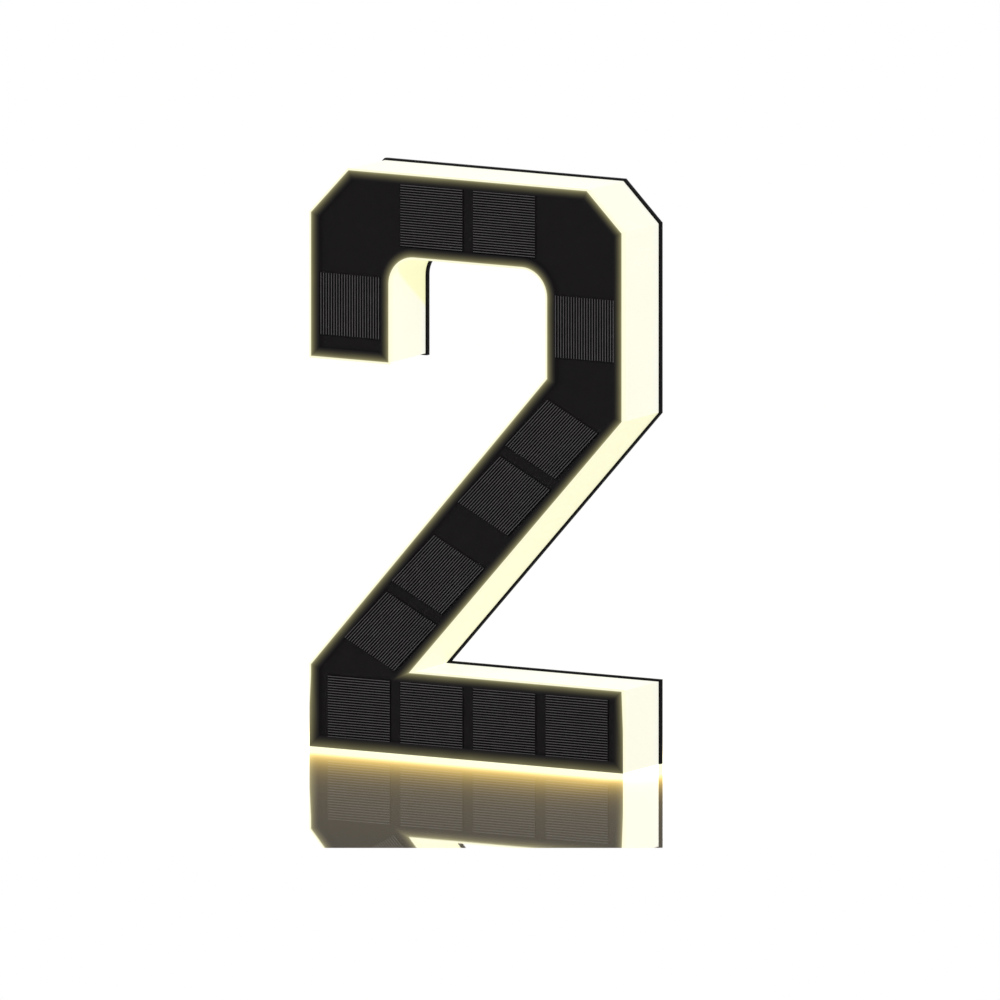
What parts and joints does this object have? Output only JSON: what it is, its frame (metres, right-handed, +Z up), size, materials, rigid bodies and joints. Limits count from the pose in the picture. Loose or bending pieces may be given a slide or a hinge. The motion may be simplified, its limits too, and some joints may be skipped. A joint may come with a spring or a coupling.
{
  "type": "illuminated house number sign",
  "caption": "Solar house number, the figure 2, with a black solar face, glowing side walls, a black rear cover, hanging keyholes and a push button.",
  "frame": {"origin": "middle of the outer box at the underside of the foot bar", "axes": "+Z up along the figure's height, the lit face looks along -Y, +X to the right of the figure as it is read"},
  "size_m": [0.0742, 0.0164, 0.1204],
  "materials": {
    "clear_resin": "clear cast resin, gloss",
    "solar_silicon": "dark silicon with fine grey lines",
    "black_board": "black board",
    "milky_wall": "milky translucent, lit from inside",
    "black_plastic": "moulded black, satin",
    "seal_rubber": "soft silicone",
    "white_sheet": "white matt sheet",
    "lamp_white": "white lamp package",
    "lamp_yellow": "yellow lamp window",
    "cell_sleeve": "shrunk plastic sleeve",
    "nickel": "nickel plate",
    "steel": "zinc-plated steel",
    "green_board": "green board",
    "component_black": "moulded component",
    "component_tan": "ceramic component",
    "button_black": "moulded black, fine texture",
    "foam_adhesive": "white adhesive foam",
    "lead_red": "insulated lead",
    "lead_black": "insulated lead"
  },
  "bodies": {
    "case": {"front_cover": "clear_resin", "panel_board": "black_board", "light_body": "milky_wall", "gasket": "seal_rubber", "back_cover": "black_plastic", "reflector_sheet": "white_sheet", "battery_holder": "white_sheet", "battery_cell": "cell_sleeve", "battery_cap": "nickel", "positive_contact": "nickel", "negative_contact": "nickel", "negative_spring": "steel", "control_board": "green_board", "charge_chip": "component_black", "inductor": "component_black", "capacitor": "component_tan", "diode": "component_black", "switch_body": "component_black", "button_seal": "seal_rubber", "case_screws": "steel", "board_screws": "steel", "adhesive_pad_top": "foam_adhesive", "adhesive_pad_diagonal": "foam_adhesive", "adhesive_pad_base": "foam_adhesive", "led_row_base": "lamp_white", "led_window_base": "lamp_yellow", "led_row_diagonal": "lamp_white", "led_window_diagonal": "lamp_yellow", "led_row_top": "lamp_white", "led_window_top": "lamp_yellow", "led_row_hook": "lamp_white", "led_window_hook": "lamp_yellow", "led_row_upright": "lamp_white", "led_window_upright": "lamp_yellow", "solar_cell_base_1": "solar_silicon", "solar_cell_base_2": "solar_silicon", "solar_cell_base_3": "solar_silicon", "solar_cell_base_4": "solar_silicon", "solar_cell_diagonal_1": "solar_silicon", "solar_cell_diagonal_2": "solar_silicon", "solar_cell_diagonal_3": "solar_silicon", "solar_cell_diagonal_4": "solar_silicon", "solar_cell_top_1": "solar_silicon", "solar_cell_top_2": "solar_silicon", "solar_cell_hook": "solar_silicon", "solar_cell_upright": "solar_silicon", "solar_wire_red": "lead_red", "solar_wire_black": "lead_black", "led_wire_red": "lead_red", "led_wire_black": "lead_black", "battery_wire_red": "lead_red", "battery_wire_black": "lead_black"},
    "button": {"power_button": "button_black", "switch_plunger": "button_black"}
  },
  "joints": [
    {"name": "button_press", "type": "slide", "parent": "case", "child": "button", "axis": [0, -1, 0], "range_m": [0, 0.0012], "stiffness_N_per_m": 600}
  ]
}
